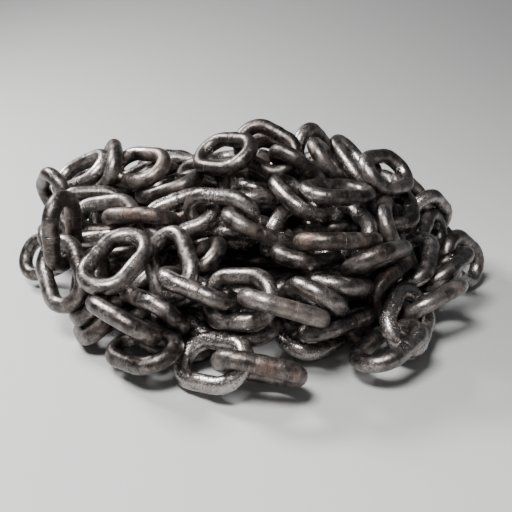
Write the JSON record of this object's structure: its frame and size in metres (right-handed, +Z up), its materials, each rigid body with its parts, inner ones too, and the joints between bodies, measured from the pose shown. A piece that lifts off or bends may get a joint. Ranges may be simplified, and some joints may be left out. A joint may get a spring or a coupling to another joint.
{
  "type": "heap of iron chain",
  "caption": "Low mound of heavy welded short-link steel chain lying loose on a floor, with one end of the chain trailing at the front right.",
  "frame": {"origin": "on the floor, at the middle of the heap's bounding box", "axes": "+Z up, +X to the right along the heap's longer side as the picture shows it, +Y to the heap's back"},
  "size_m": [0.4284, 0.369, 0.1494],
  "materials": {
    "dark_iron": "dark mill-scaled iron, rubbed bright on the high places, light brown rust in the hollows",
    "inner_iron": "the same iron, unrubbed, on the links that lie buried"
  },
  "bodies": {
    "root": {"link_front_row_01": "dark_iron", "link_front_row_02": "dark_iron", "link_front_row_03": "dark_iron", "link_front_row_04": "dark_iron", "link_front_row_05": "dark_iron", "link_front_row_06": "dark_iron", "link_front_row_07": "dark_iron", "link_front_row_08": "dark_iron", "link_front_row_09": "dark_iron", "link_front_row_10": "dark_iron", "link_front_row_11": "dark_iron", "link_front_row_12": "dark_iron", "link_loose_end_01": "dark_iron", "link_loose_end_02": "dark_iron", "link_loose_end_03": "dark_iron", "link_loose_end_04": "dark_iron", "link_middle_01": "dark_iron", "link_middle_02": "dark_iron", "link_middle_03": "dark_iron", "link_middle_04": "dark_iron", "link_middle_05": "dark_iron", "link_middle_06": "dark_iron", "link_middle_07": "dark_iron", "link_middle_08": "dark_iron", "link_middle_09": "dark_iron", "link_middle_10": "dark_iron", "links_back_foot_01": "dark_iron", "links_back_foot_05": "dark_iron", "links_back_foot_11": "dark_iron", "links_back_low_01": "dark_iron", "links_back_low_06": "dark_iron", "links_back_middle_01": "dark_iron", "links_back_middle_05": "dark_iron", "links_back_rim_01": "dark_iron", "links_back_top_02": "dark_iron", "links_hollow_floor_01": "dark_iron", "links_inner_back_03": "inner_iron", "links_inner_row_1_01": "inner_iron", "links_inner_row_2_01": "inner_iron", "links_inner_row_3_01": "inner_iron", "links_inner_row_4_01": "inner_iron", "links_inner_row_5_01": "inner_iron", "links_left_crown_01": "dark_iron", "links_left_crown_04": "dark_iron", "links_left_flank_01": "dark_iron", "links_left_flank_03": "dark_iron", "links_left_flank_09": "dark_iron", "links_low_front_02": "dark_iron", "links_low_middle_01": "dark_iron", "links_ridge_02": "dark_iron", "links_right_edge_01": "dark_iron", "links_right_edge_02": "dark_iron", "links_right_slope_01": "dark_iron"}
  },
  "joints": []
}
